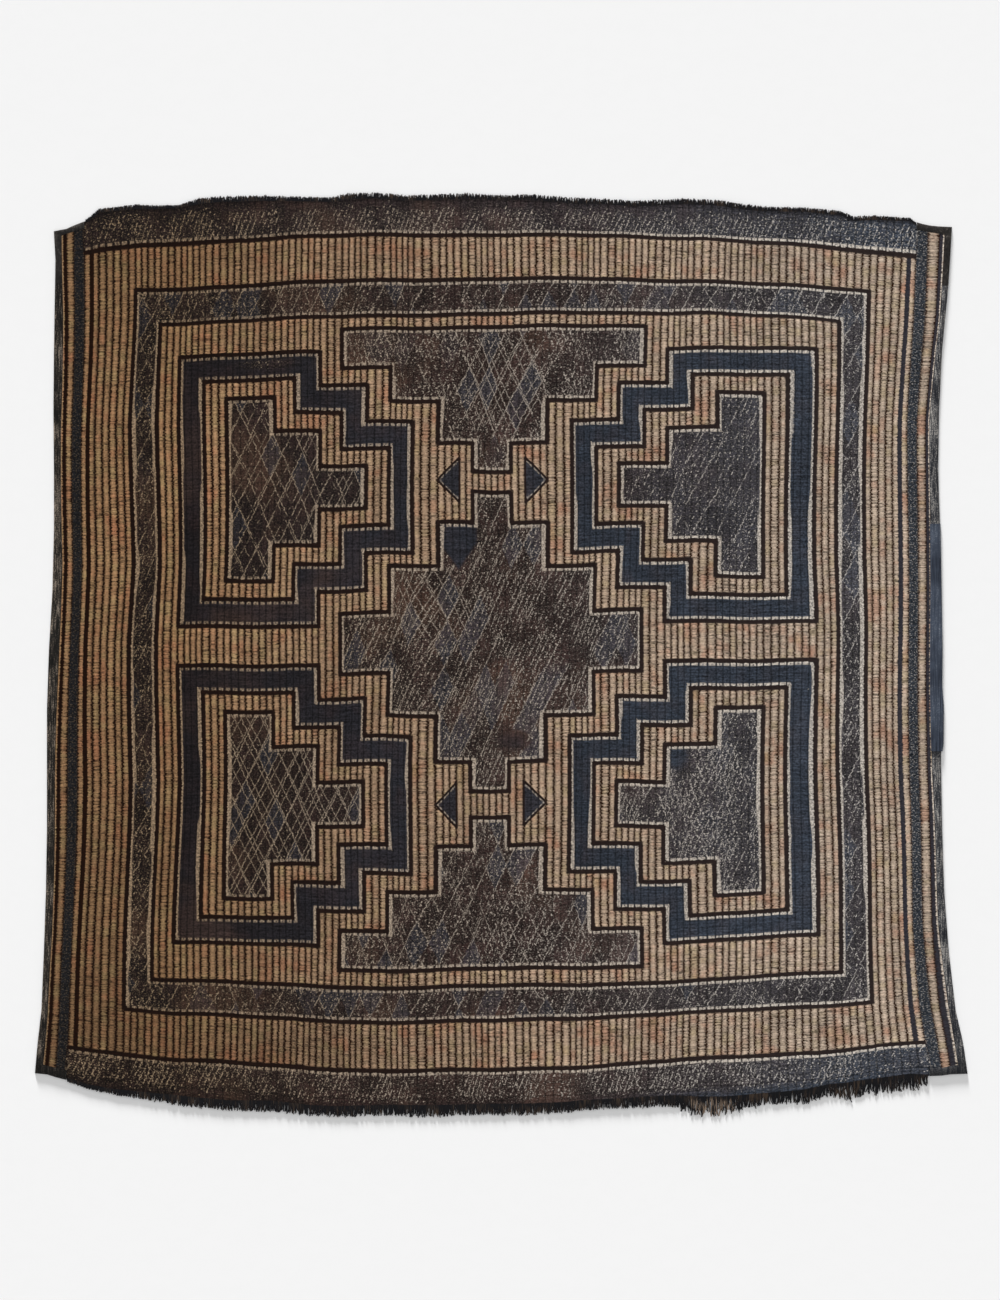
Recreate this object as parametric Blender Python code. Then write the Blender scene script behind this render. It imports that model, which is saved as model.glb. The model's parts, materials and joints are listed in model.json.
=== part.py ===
"""A reed and leather mat, lying flat.

Reeds run across the mat side by side. Leather strips run up it and draw the reeds into columns, so the
woven field is ribbed. Leather bands close its two ends and are cut into a short fringe, leather bindings
cover the ends of the reeds, with a folded cap on each top corner, and a leather mend lies over the
right-hand binding. Lengths are metres, +Z is up, and the origin lies under the middle of the mat.
"""

import random

import bmesh
import bpy
import numpy as np

# Driving sizes
COLUMNS = 124
GROOVE_HEIGHT = 0.0030
COLUMN_HEIGHT = 0.0040
BINDING_WIDTH = 0.0170
BAND_HEIGHT = 0.0032
MEND_THICKNESS = 0.0012
MEND_OVERHANG = 0.0012
GAP = 0.0003
MEND_GAP = 0.0004

# Fringe
TOP_STRANDS = 122
BOTTOM_STRANDS = 130
ROOT_SHARE = 0.70
TIP_SHARE = 0.55
TIP_HEIGHT = 0.0015
LENGTH_SPREAD = 0.22
LEAN_SPREAD = 0.0014
TONGUE_STEP = 0.007

# Places up the field, as shares of its length, where its edges are drawn
ROWS = (0.0, 0.12, 0.25, 0.37, 0.51, 0.65, 0.76, 0.86, 0.952, 1.0)
MEND_ROWS = (3, 5)
CORNER_ROW = 8

# Outer edge of the two bindings, from the bottom of the mat to the top
SIDES = np.array(
    [
        (-0.836, -0.933, 0.933),
        (-0.830, -0.933, 0.932),
        (-0.770, -0.927, 0.922),
        (-0.710, -0.920, 0.908),
        (-0.590, -0.915, 0.894),
        (-0.470, -0.911, 0.885),
        (-0.350, -0.909, 0.881),
        (-0.230, -0.909, 0.879),
        (-0.110, -0.909, 0.881),
        (0.010, -0.905, 0.879),
        (0.130, -0.899, 0.878),
        (0.250, -0.895, 0.877),
        (0.370, -0.895, 0.873),
        (0.490, -0.897, 0.875),
        (0.610, -0.895, 0.882),
        (0.730, -0.891, 0.893),
        (0.790, -0.892, 0.899),
        (0.848, -0.897, 0.904),
    ],
    dtype=[("y", float), ("left", float), ("right", float)],
)

# Ends of the mat: where the field meets the end band, the band's outer edge, and the length of its fringe
END_COLUMNS = [("x", float), ("seam", float), ("edge", float), ("fringe", float)]
TOP = np.array(
    [
        (-0.897, 0.838, 0.848, 0.000),
        (-0.845, 0.852, 0.865, 0.004),
        (-0.809, 0.862, 0.884, 0.011),
        (-0.683, 0.868, 0.890, 0.010),
        (-0.503, 0.880, 0.907, 0.010),
        (-0.323, 0.884, 0.910, 0.010),
        (-0.143, 0.887, 0.913, 0.010),
        (0.037, 0.887, 0.912, 0.010),
        (0.217, 0.878, 0.904, 0.009),
        (0.397, 0.872, 0.900, 0.010),
        (0.517, 0.862, 0.888, 0.009),
        (0.637, 0.858, 0.884, 0.009),
        (0.737, 0.850, 0.874, 0.009),
        (0.807, 0.849, 0.867, 0.008),
        (0.829, 0.850, 0.863, 0.004),
        (0.904, 0.843, 0.856, 0.000),
    ],
    dtype=END_COLUMNS,
)
BOTTOM = np.array(
    [
        (-0.933, -0.818, -0.834, 0.000),
        (-0.883, -0.826, -0.843, 0.006),
        (-0.825, -0.840, -0.856, 0.011),
        (-0.743, -0.850, -0.866, 0.015),
        (-0.623, -0.863, -0.880, 0.017),
        (-0.503, -0.872, -0.890, 0.018),
        (-0.383, -0.881, -0.900, 0.019),
        (-0.263, -0.884, -0.902, 0.018),
        (-0.143, -0.886, -0.904, 0.019),
        (-0.023, -0.883, -0.901, 0.018),
        (0.097, -0.878, -0.896, 0.018),
        (0.217, -0.872, -0.890, 0.021),
        (0.337, -0.866, -0.884, 0.020),
        (0.390, -0.865, -0.883, 0.031),
        (0.450, -0.864, -0.882, 0.029),
        (0.500, -0.861, -0.879, 0.019),
        (0.577, -0.856, -0.874, 0.019),
        (0.697, -0.843, -0.860, 0.018),
        (0.817, -0.833, -0.850, 0.016),
        (0.877, -0.822, -0.840, 0.006),
        (0.933, -0.819, -0.836, 0.000),
    ],
    dtype=END_COLUMNS,
)

# Where the end bands stop and the corners take over
TOP_BAND_ENDS = (-0.845, 0.829)
BOTTOM_BAND_ENDS = (-0.883, 0.877)

# Section of a binding, from its outer side inwards, as shares of its width
BINDING_SECTION = np.array(
    [(0.0, 0.0), (0.0, 0.0026), (0.22, 0.0048), (0.78, 0.0048), (1.0, 0.0034), (1.0, 0.0)],
    dtype=[("across", float), ("height", float)],
)

# Surfaces: base colour, roughness
SURFACES = {
    "reed": ((0.30, 0.20, 0.12, 1.0), 0.75),
    "dark_leather": ((0.022, 0.020, 0.021, 1.0), 0.62),
    "navy_leather": ((0.020, 0.024, 0.034, 1.0), 0.58),
    "mend_leather": ((0.045, 0.060, 0.075, 1.0), 0.66),
}


def clear_scene():
    for thing in list(bpy.data.objects):
        bpy.data.objects.remove(thing, do_unlink=True)


def material(name):
    colour, roughness = SURFACES[name]
    made = bpy.data.materials.new(name)
    made.use_nodes = True
    shader = made.node_tree.nodes["Principled BSDF"]
    shader.inputs["Base Color"].default_value = colour
    shader.inputs["Roughness"].default_value = roughness
    shader.inputs["Metallic"].default_value = 0.0
    return made


def curve(table, column, at):
    """The value, at one place, of a smooth line through a table's column. The places are its first column."""
    places = table[table.dtype.names[0]]
    values = table[column]
    slopes = np.gradient(values, places)
    low = int(np.clip(np.searchsorted(places, at) - 1, 0, len(places) - 2))
    step = places[low + 1] - places[low]
    f = float(np.clip((at - places[low]) / step, 0.0, 1.0))
    ease = f * f * (3.0 - 2.0 * f)
    levels = values[low] * (1.0 - ease) + values[low + 1] * ease
    leaving = slopes[low] * step * f * (1.0 - f) ** 2
    arriving = slopes[low + 1] * step * (1.0 - f) * f**2
    return float(levels + leaving - arriving)


def field_point(across, up):
    """A point of the field, given as shares of the way across and up it, between its four seams."""
    x = 0.0
    y = 0.0
    for _ in range(8):
        left = curve(SIDES, "left", y) + BINDING_WIDTH + GAP
        right = curve(SIDES, "right", y) - BINDING_WIDTH - GAP
        x = left + (right - left) * across
        low = curve(BOTTOM, "seam", x)
        high = curve(TOP, "seam", x)
        y = low + (high - low) * up
    return x, y


def finish(name, bm, surface):
    """Turns the modelled shape into a named object with its own surface."""
    bmesh.ops.recalc_face_normals(bm, faces=bm.faces)
    mesh = bpy.data.meshes.new(name)
    bm.to_mesh(mesh)
    bm.free()
    mesh.materials.append(surface)
    made = bpy.data.objects.new(name, mesh)
    bpy.context.scene.collection.objects.link(made)
    return made


def slab(points):
    """A closed sheet with a flat underside. points[row][place] holds x, y and the height of its top."""
    rows = len(points)
    places = len(points[0])
    bm = bmesh.new()
    row_of = bm.verts.layers.int.new("row")
    top = bmesh.ops.create_grid(bm, x_segments=places - 1, y_segments=rows - 1, size=1.0)["verts"]
    for number, vert in enumerate(top):
        vert.co = points[number // places][number % places]
        vert[row_of] = number // places
    lower = bmesh.ops.extrude_face_region(bm, geom=bm.faces[:])["geom"]
    for vert in (item for item in lower if isinstance(item, bmesh.types.BMVert)):
        vert.co.z = 0.0
    return bm


def join_underside(bm):
    """Joins the columns of a sheet's flat underside into one face for each row, and fans out the end ones."""
    row_of = bm.verts.layers.int["row"]
    seams = [
        edge
        for edge in bm.edges
        if edge.verts[0][row_of] != edge.verts[1][row_of]
        and all(vert.co.z == 0.0 for face in edge.link_faces for vert in face.verts)
    ]
    bmesh.ops.dissolve_edges(bm, edges=seams, use_verts=True)
    long_faces = [face for face in bm.faces if len(face.verts) > 4]
    bmesh.ops.poke(bm, faces=long_faces)


def woven_field(surface):
    """The reeds and their leather strips: one flat sheet, raised in the middle of each column of reeds."""
    points = []
    for up in ROWS:
        row = []
        for step in range(2 * COLUMNS + 1):
            height = COLUMN_HEIGHT if step % 2 else GROOVE_HEIGHT
            row.append((*field_point(step / (2 * COLUMNS), up), height))
        points.append(row)
    bm = slab(points)
    join_underside(bm)
    return finish("mat_field", bm, surface)


def fringed_band(name, table, ends, strands, surface, seed):
    """A leather end band, whose outer edge is cut into strands that lie level on the floor."""
    outward = 1.0 if table["edge"][0] > 0.0 else -1.0
    first = ends[0] + GAP
    pitch = (ends[1] - GAP - first) / (strands - 1 + ROOT_SHARE)
    inner = []
    outer = []
    for step in range(2 * strands):
        x = first + pitch * (step // 2 + ROOT_SHARE * (step % 2))
        inner.append((x, curve(table, "seam", x) + outward * GAP, BAND_HEIGHT))
        outer.append((x, curve(table, "edge", x), BAND_HEIGHT))
    bm = slab([inner, outer])
    row_of = bm.verts.layers.int["row"]
    edge_faces = [face for face in bm.faces if all(vert[row_of] == 1 for vert in face.verts)]
    edge_faces.sort(key=lambda face: face.calc_center_median().x)
    chance = random.Random(seed)
    tips = bmesh.ops.extrude_discrete_faces(bm, faces=edge_faces[::2])["faces"]
    for tip in tips:
        middle = tip.calc_center_median().x
        reach = curve(table, "fringe", middle) * (1.0 + chance.uniform(-LENGTH_SPREAD, LENGTH_SPREAD))
        lean = chance.uniform(-LEAN_SPREAD, LEAN_SPREAD)
        for vert in tip.verts:
            vert.co.x = middle + (vert.co.x - middle) * TIP_SHARE + lean
            vert.co.y += outward * reach
            vert.co.z = TIP_HEIGHT if vert.co.z > 0.0 else 0.0
    return finish(name, bm, surface)


def sweep(name, sections, surface):
    """A solid drawn through a row of like sections, each a loop of points."""
    bm = bmesh.new()
    place_of = bm.verts.layers.int.new("place")
    verts = [bm.verts.new(point) for point in sections[0]]
    for number, vert in enumerate(verts):
        vert[place_of] = number
    face = bm.faces.new(verts)
    for number, section in enumerate(sections[1:]):
        grown = bmesh.ops.extrude_face_region(bm, geom=[face])["geom"]
        for vert in (item for item in grown if isinstance(item, bmesh.types.BMVert)):
            vert.co = section[vert[place_of]]
        if number:
            bmesh.ops.delete(bm, geom=[face], context="FACES_ONLY")
        face = next(item for item in grown if isinstance(item, bmesh.types.BMFace))
    return finish(name, bm, surface)


def binding_section(outer, inner):
    return [
        (
            outer[0] + (inner[0] - outer[0]) * point["across"],
            outer[1] + (inner[1] - outer[1]) * point["across"],
            point["height"],
        )
        for point in BINDING_SECTION
    ]


def side_stations(side, rows):
    """Pairs of outer and inner points of a binding beside the field, for some of the field's rows."""
    outward = -1.0 if side == "left" else 1.0
    stations = []
    for up in rows:
        x, y = field_point(0.0 if side == "left" else 1.0, up)
        stations.append(((curve(SIDES, side, y), y), (x + outward * GAP, y)))
    return stations


def corner_station(side, table, up):
    """The mitre where a binding turns from the side of the mat on to its end."""
    outward = -1.0 if side == "left" else 1.0
    endward = 1.0 if up else -1.0
    x, y = field_point(0.0 if side == "left" else 1.0, up)
    edge = curve(table, "edge", x + outward * BINDING_WIDTH)
    return (curve(SIDES, side, edge), edge), (x + outward * GAP, y + endward * GAP)


def tongue_stations(side, table, up, end):
    """Pairs of points of the turned-in end of a binding, from the corner of the mat to the end band."""
    start = field_point(0.0 if side == "left" else 1.0, up)[0]
    endward = GAP if up else -GAP
    steps = max(2, round(abs(end - start) / TONGUE_STEP))
    stations = []
    for step in range(1, steps + 1):
        x = start + (end - start) * step / steps
        stations.append(((x, curve(table, "edge", x)), (x, curve(table, "seam", x) + endward)))
    return stations


def binding(side, surface):
    """The leather folded over the ends of the reeds, with its lower end turned in along the mat's end."""
    number = 0 if side == "left" else 1
    stations = tongue_stations(side, BOTTOM, 0.0, BOTTOM_BAND_ENDS[number])[::-1]
    stations.append(corner_station(side, BOTTOM, 0.0))
    stations += side_stations(side, ROWS[1 : CORNER_ROW + 1])
    return sweep("binding_" + side, [binding_section(*pair) for pair in stations], surface)


def corner_cap(side, surface):
    """The leather folded over a top corner: it butts on the binding and reaches in to the end band."""
    number = 0 if side == "left" else 1
    foot = side_stations(side, [ROWS[CORNER_ROW]])[0]
    raised = tuple((x, y + GAP) for x, y in foot)
    stations = [raised, corner_station(side, TOP, 1.0)]
    stations += tongue_stations(side, TOP, 1.0, TOP_BAND_ENDS[number])
    return sweep("corner_cap_" + side, [binding_section(*pair) for pair in stations], surface)


def mend(surface):
    """A leather patch lapped over the right binding, from the floor outside it to the field's edge."""
    above = MEND_GAP
    sections = []
    for outer, inner in side_stations("right", ROWS[MEND_ROWS[0] : MEND_ROWS[1] + 1]):
        covered = binding_section(outer, inner)[:-1]
        covered[-1] = (inner[0] - MEND_OVERHANG, inner[1], covered[-1][2])
        under = [(covered[0][0] + above, covered[0][1], 0.0)]
        under += [(x + above, y, z + above) for x, y, z in covered[1:3]]
        under += [(x, y, z + above) for x, y, z in covered[3:]]
        over = [(under[0][0] + MEND_THICKNESS, under[0][1], 0.0)]
        over += [(x + MEND_THICKNESS, y, z + MEND_THICKNESS / 2) for x, y, z in under[1:2]]
        over += [(x, y, z + MEND_THICKNESS) for x, y, z in under[2:]]
        sections.append(under + over[::-1])
    return sweep("edge_mend", sections, surface)


def centre_on_origin(pieces):
    """Moves every piece by the same amount, so that the origin lies under the middle of the mat."""
    corners = np.array([vert.co for piece in pieces for vert in piece.data.vertices])
    shift = (corners.min(0) + corners.max(0)) / 2.0
    for piece in pieces:
        for vert in piece.data.vertices:
            vert.co.x -= shift[0]
            vert.co.y -= shift[1]


def build():
    clear_scene()
    surfaces = {name: material(name) for name in SURFACES}
    pieces = [woven_field(surfaces["reed"])]
    pieces.append(fringed_band("fringe_top", TOP, TOP_BAND_ENDS, TOP_STRANDS, surfaces["navy_leather"], 3))
    pieces.append(
        fringed_band("fringe_bottom", BOTTOM, BOTTOM_BAND_ENDS, BOTTOM_STRANDS, surfaces["navy_leather"], 5)
    )
    for side in ("left", "right"):
        pieces.append(binding(side, surfaces["dark_leather"]))
        pieces.append(corner_cap(side, surfaces["dark_leather"]))
    pieces.append(mend(surfaces["mend_leather"]))
    centre_on_origin(pieces)


build()
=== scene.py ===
# %% [markdown]
# # A reed and leather mat
# The real mat is made on the ground. Thin reeds are laid side by side, and narrow leather strips are
# woven over and under them, so the strips draw the reeds into columns. Where the leather stays on top,
# it hides the reeds and makes the dark stepped figures. This lesson dresses the plain solids of the mat
# with its weave, its leather edges and its fringe.

# %% Load the frame
import json
import random

import bmesh
import bpy
import numpy as np
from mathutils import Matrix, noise

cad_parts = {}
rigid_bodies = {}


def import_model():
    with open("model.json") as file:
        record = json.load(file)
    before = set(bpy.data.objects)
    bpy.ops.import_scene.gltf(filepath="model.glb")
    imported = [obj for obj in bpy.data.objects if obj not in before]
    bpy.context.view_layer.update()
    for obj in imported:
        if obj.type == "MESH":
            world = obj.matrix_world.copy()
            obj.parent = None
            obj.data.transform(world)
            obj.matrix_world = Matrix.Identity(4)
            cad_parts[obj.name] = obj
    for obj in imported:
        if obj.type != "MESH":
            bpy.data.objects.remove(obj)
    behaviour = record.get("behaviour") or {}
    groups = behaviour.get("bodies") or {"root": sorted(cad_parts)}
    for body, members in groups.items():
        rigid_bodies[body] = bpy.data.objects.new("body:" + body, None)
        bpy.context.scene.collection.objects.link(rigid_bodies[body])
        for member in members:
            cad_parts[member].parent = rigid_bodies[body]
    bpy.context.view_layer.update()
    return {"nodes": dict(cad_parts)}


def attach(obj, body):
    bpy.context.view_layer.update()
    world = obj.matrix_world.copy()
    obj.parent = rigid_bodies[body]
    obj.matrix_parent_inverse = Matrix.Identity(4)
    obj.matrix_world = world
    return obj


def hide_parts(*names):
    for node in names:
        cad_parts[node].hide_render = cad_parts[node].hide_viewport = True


for thing in list(bpy.data.objects):
    bpy.data.objects.remove(thing, do_unlink=True)
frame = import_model()
print("solids:", sorted(frame["nodes"]))

# %% [markdown]
# ## From the picture to metres
# A flat mat seen from straight above is a plan: one pixel is the same length everywhere. So places can
# be named in pixels of the picture and turned into metres by one rule. The lowest line of the mat is at
# a large pixel number, so the upward direction changes sign.

# %% Picture places
METRES_PER_PIXEL = 0.002
MIDDLE_X = 501.5
MIDDLE_Y = 655.15
PIXELS_PER_COLUMN = 7.0
JOINT = 0.0003


def plan(x, y):
    """Metres on the floor for a place in the picture."""
    return (x - MIDDLE_X) * METRES_PER_PIXEL, (MIDDLE_Y - y) * METRES_PER_PIXEL


print("picture corner in metres:", plan(0.0, 0.0))

# %% [markdown]
# ## The uneven net
# Hand weaving is never square. The pattern is designed on a straight net of columns and levels, counted
# from the middle column, and the net is then bent to the shape the mat really has. Three short tables do
# it: where the columns lie at mid height, how far they drift at other heights, and how far the levels
# rise or fall from left to right. Bending the net rather than each figure keeps every figure whole.
# The places to a tenth of a pixel are dark lines that a measuring script found in the photograph.

# %% The column net
COLUMN_PLACES = np.array(
    [
        (-62.6, 61.5), (-62, 65.5), (-61, 72.5), (-60, 81.5), (-59, 88.6), (-53, 133.6), (-49, 159.5),
        (-46, 180.4), (-42, 204.7), (-39, 226.7), (-32, 274.5), (-29, 294.5), (-25, 319.5), (-22, 341.0),
        (-18, 366.0), (-15, 389.5), (-11, 412.5), (-8, 438.5), (-3, 473.5), (0, 492.0), (3, 511.0),
        (8, 547.0), (11, 571.5), (15, 595.0), (18, 618.0), (22, 643.0), (25, 666.0), (29, 691.0),
        (32, 716.5), (39, 763.6), (42, 786.0), (46, 814.0), (49, 836.0), (53, 863.7), (58, 899.6),
        (61, 926.1), (61.5, 929.5),
    ],
    dtype=[("column", float), ("x", float)],
)
DRIFT_COLUMNS = (-62.6, -59, -53, -46, -39, -22, 0, 8, 22, 39, 46, 53, 58, 59, 60, 61, 61.5)
DRIFT = {
    215: (1, 4, 2, 1, 0, 2, 2, 4, 5, 1, 3, 8, 11, 9, 11, 14, 15),
    300: (1.5, 3, 1.3, 0.5, 0, 2, 2, 4, 4, 0, 2, 4, 6, 5, 7, 9, 9.5),
    420: (0, 0, -2.9, -0.9, 0, 0, 0, 1, 1, 0, 2, 1.4, 0.4, -0.5, 0, 0, 0),
    560: (1, 0, 0, 0, 0, 0, 0, 0, 0, 0, 0, 0, 0, -0.5, -0.5, -0.5, 0),
    640: (-2, -3, -4, -2, -2, -1, 0, -1, -1, -1, 2, 2, 0.5, 0, 0.5, 0.5, 1),
    780: (-6, -3, -3, -1, -1, -2, -3, -2, -2, -1, 1.6, 3, 0.4, 0.5, 1, 1.5, 2),
    940: (-9, -9, -8, -6, -2, -2, -4, -2, -2, -1, 4, 6.4, 6.4, 5, 6, 7, 9),
    1030: (-13, -12, -10, -7, -3, -3, -4, -2, -2, -1, 5, 9, 11, 11, 13, 13, 18),
    1100: (-19, -15, -12, -8, -4, -3, -4, -2, -2, -1, 6, 13, 19, 21, 24, 24, 28),
}
FALL_COLUMNS = (-62.6, -60, -58, -53, -46, -30, -15, 0, 15, 30, 46, 53, 58, 60, 61.5)
FALL = {
    198: (33, 23, 10.5, 7, 7, 2.5, 0, 0, 3, 6, 10.5, 16.5, 20, 26, 27.5),
    212: (24, 17, 11, 8.5, 6, 2.5, 0, 0, 3, 7, 11, 13, 15, 19, 22),
    238: (20, 19, 16, 12.5, 9, 2.5, 0, 0, 1, 3, 12, 18, 21, 21, 21),
    282: (14, 14, 13.4, 12, 10, 4.5, 1, 0, 0, 2, 8, 11.5, 14, 15, 15),
    310: (13, 13, 12.6, 11.5, 10, 5, 1.5, 0, -1, -1, 6, 9.5, 12, 13, 13),
    350: (9, 9, 8.6, 7.8, 5.5, 2, -1, 0, -2.5, -3, -2, -0.5, 0.6, 1, 1),
    487: (4, 4, 4, 4, 3.5, -0.5, -2, 1, -3.5, -3.5, -3.5, -2.5, -1.5, -1, -1),
    645: (2, 2, 2, 2, 2, 1.5, 0, 0, -2, -4, -4, -4, -4, -4, -4),
    805: (2, 2, 2, 2, 2, 0.5, -1, 0, -1.5, -1, -4.5, -6.5, -7.5, -8, -8),
    989: (-10, -10, -9.6, -8.5, -7, -1, 2, 0, -2, -5, -14, -17, -19, -20, -20),
    1017: (-16, -16, -15, -12, -8, -2, 1.5, 0, -4, -8, -15, -19, -22, -23, -23),
    1066: (-23, -23, -21.5, -16, -10.5, -4, 1, 0, -4, -11, -18, -23.5, -26.5, -28, -28),
    1097: (-33, -28, -23, -17, -11, -3, 1.5, 0, -5, -10, -19, -27, -30, -29, -32),
    1106: (-33, -27, -20, -15, -9, -2, 1.5, 0, -5, -10, -18, -26, -29, -30, -32),
}
HAND_WOBBLE = 0.7
COLUMN_JITTER = 0.55
JITTER_PLACES = np.arange(-63, 63)
JITTER = np.random.default_rng(17).uniform(-COLUMN_JITTER, COLUMN_JITTER, len(JITTER_PLACES))


def between(table, table_columns, columns, levels):
    """A table's value at each column and level, in straight steps between its entries."""
    heights = np.array(sorted(table), float)
    rows = np.array([np.interp(columns.ravel(), table_columns, table[key]) for key in sorted(table)])
    place = np.interp(levels.ravel(), heights, np.arange(len(heights)))
    low = np.clip(place.astype(int), 0, len(heights) - 2)
    part = place - low
    pick = np.arange(columns.size)
    found = rows[low, pick] * (1.0 - part) + rows[low + 1, pick] * part
    return found.reshape(columns.shape)


def net(columns, levels):
    """Metres on the floor for columns and levels of the straight net."""
    columns, levels = np.broadcast_arrays(np.asarray(columns, float), np.asarray(levels, float))
    x = np.interp(columns, COLUMN_PLACES["column"], COLUMN_PLACES["x"])
    x = x + between(DRIFT, DRIFT_COLUMNS, columns, levels)
    y = levels + between(FALL, FALL_COLUMNS, columns, levels)
    x = x + np.interp(columns, JITTER_PLACES, JITTER) * np.sin(levels / 130.0 + columns)
    x = x + HAND_WOBBLE * np.sin(levels / 41.0 + columns * 0.11)
    y = y + HAND_WOBBLE * (np.sin(columns / 5.3 + levels / 90.0) + 0.5 * np.sin(columns / 1.9 + 1.0))
    return plan(x, y)


print("middle of the net:", [round(float(part), 4) for part in net(0.0, 645.0)])

# %% [markdown]
# ## The dark pattern, as distances
# Every dark figure on the mat has the same edge: a thick dark leather line, then a light line, then the
# dark inside. One number at each point makes all three: how deep the point lies inside a figure, counted
# in columns, and below zero outside. A stepped figure is a few rectangles laid over each other, so its
# depth is the greatest of theirs, and a ring is an outer stepped figure less an inner one.

# %% Depth in stepped figures
UPPER_RING = 488.0
LOWER_RING = 805.0
RING_STEPS = np.array(
    [
        ("outer", 25, 46, 137, 141), ("outer", 18, 46, 103, 106), ("outer", 11, 46, 66, 68),
        ("inner", 29, 42, 110, 114), ("inner", 22, 42, 75.5, 78), ("inner", 15, 42, 38.5, 39.8),
        ("figure", 32, 39, 92, 95), ("figure", 25, 39, 57, 59.5), ("figure", 18, 39, 21.5, 22.3),
    ],
    dtype=[("part", "U8"), ("near", float), ("far", float), ("upper", float), ("lower", float)],
)
DIAMOND_STEPS = {
    "top_diamond": ((22, 327.3, 368), (15, 327.3, 402), (8, 327.3, 444), (3, 327.3, 472)),
    "middle_diamond": ((3, 492, 791), (8, 523, 762), (15, 567, 716.5), (22, 613, 674)),
    "bottom_diamond": ((3, 817, 969), (8, 846, 969), (15, 891, 969), (22, 930, 969)),
}
ARROWS = ((-1, 481), (1, 481), (-1, 805), (1, 804))
ARROW_BACK = 5.0
ARROW_TIP = 8.0
ARROW_HALF_HEIGHT = 22.0
FRAME_OUTER = (-53, 53, 279, 1021)
FRAME_INNER = (-49, 49, 314, 986)
BAND_SIDES = (-60.0, 59.0)
TOP_BAND_INNER = 235.0
BOTTOM_BAND_INNER = 1070.0


def box_depth(columns, levels, left, right, top, bottom):
    """Depth inside a rectangle, and whether its nearest side is an upright one."""
    across = np.minimum(columns - left, right - columns)
    along = np.minimum(levels - top, bottom - levels) / PIXELS_PER_COLUMN
    return np.minimum(across, along), (across < along).astype(float)


def stepped_depth(columns, levels, boxes):
    """The greatest depth in several rectangles."""
    best = np.full(columns.shape, -99.0)
    upright = np.zeros(columns.shape)
    for box in boxes:
        depth, side = box_depth(columns, levels, *box)
        upright = np.where(depth > best, side, upright)
        best = np.maximum(depth, best)
    return best, upright


def ring_boxes(part, sign, low):
    boxes = []
    for step in RING_STEPS[RING_STEPS["part"] == part]:
        half = step["lower"] if low else step["upper"]
        middle = LOWER_RING if low else UPPER_RING
        sides = sorted((sign * step["near"], sign * step["far"]))
        boxes.append((*sides, middle - half, middle + half))
    return boxes


def less(outer, inner):
    """An outer figure with an inner one taken out."""
    depth = np.minimum(outer[0], -inner[0])
    return depth, np.where(outer[0] < -inner[0], outer[1], inner[1])


def arrow_depth(columns, levels, sign, middle):
    """A small triangle that points away from the middle of the mat."""
    reach = columns * sign
    half = ARROW_HALF_HEIGHT * (ARROW_TIP - reach) / (ARROW_TIP - ARROW_BACK)
    slope = (half - np.abs(levels - middle)) / PIXELS_PER_COLUMN * 0.6
    side = reach - ARROW_BACK
    return 2.4 * np.minimum(side, slope) + 0.1, (side < slope).astype(float)


def band_depth(columns, along):
    """An end band, open at its sides, where it runs into the dark side stripes."""
    within = (columns >= BAND_SIDES[0]) & (columns <= BAND_SIDES[1])
    return np.where(within, along / PIXELS_PER_COLUMN, -3.0), np.zeros(columns.shape)


print("ring steps:", len(RING_STEPS), "diamonds:", len(DIAMOND_STEPS))

# %% [markdown]
# ## What each dark part holds
# Inside the figures the leather is pierced and drawn aside, so short light strokes of reed show. Some
# parts are plain blue-black, some are peppered with specks, and some hold a loose lattice of crossing
# strokes. A short table gives each part its share of blue, of specks, of lattice and of lean.

# %% Kinds of dark leather
KINDS = np.array(
    [
        ("top_band", 0.50, 0.74, 0.00, 0.75), ("bottom_band", 0.15, 0.80, 0.05, 0.60),
        ("frame", 0.20, 0.58, 0.42, 0.35), ("side_stripe", 0.10, 0.34, 0.00, 0.00),
        ("ring", 1.00, 0.00, 0.00, 0.00), ("arrow", 0.90, 0.05, 0.00, 0.30),
        ("top_diamond", 0.15, 0.74, 0.30, 0.05), ("middle_diamond", 0.12, 0.70, 0.42, 0.75),
        ("bottom_diamond", 0.15, 0.66, 0.45, 0.20), ("figure_upper_left", 0.35, 0.30, 0.54, 0.10),
        ("figure_upper_right", 0.40, 0.56, 0.35, 0.80), ("figure_lower_left", 0.15, 0.38, 0.85, 0.00),
        ("figure_lower_right", 0.35, 0.80, 0.35, 0.30),
    ],
    dtype=[("kind", "U24"), ("navy", float), ("specks", float), ("lattice", float), ("lean", float)],
)
# column, level, half width in columns, half height in pixels, then navy, specks and lattice there
PATCHES = (
    (3.4, 741, 3.0, 13, 0.5, 0.04, 0.00),
    (1.5, 384, 8.0, 60, 0.1, 0.50, 1.00),
    (-4.0, 452, 2.6, 14, 0.5, 0.10, 0.00),
    (27.0, 758, 2.4, 16, 1.0, 0.00, 0.00),
    (-8.0, 610, 8.0, 50, 0.1, 0.60, 0.75),
    (10.0, 640, 7.0, 40, 0.1, 0.75, 0.15),
    (-33.0, 362, 5.5, 7, 0.7, 0.55, 0.00),
)
PENNANT_COLUMN = -5.2
PENNANT_HALF = 3.0
PENNANT_TOP = 526.0
PENNANT_POINT = 573.0
PENNANT_TAPER = 30.0
STRIPE_COLUMNS = (-60.5, 59.5)
# column, and how much thinner than a full line
HEAVY_LINES = ((-62.2, 0.1), (-59, 0), (58, 0), (61.2, 0.1))


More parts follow.
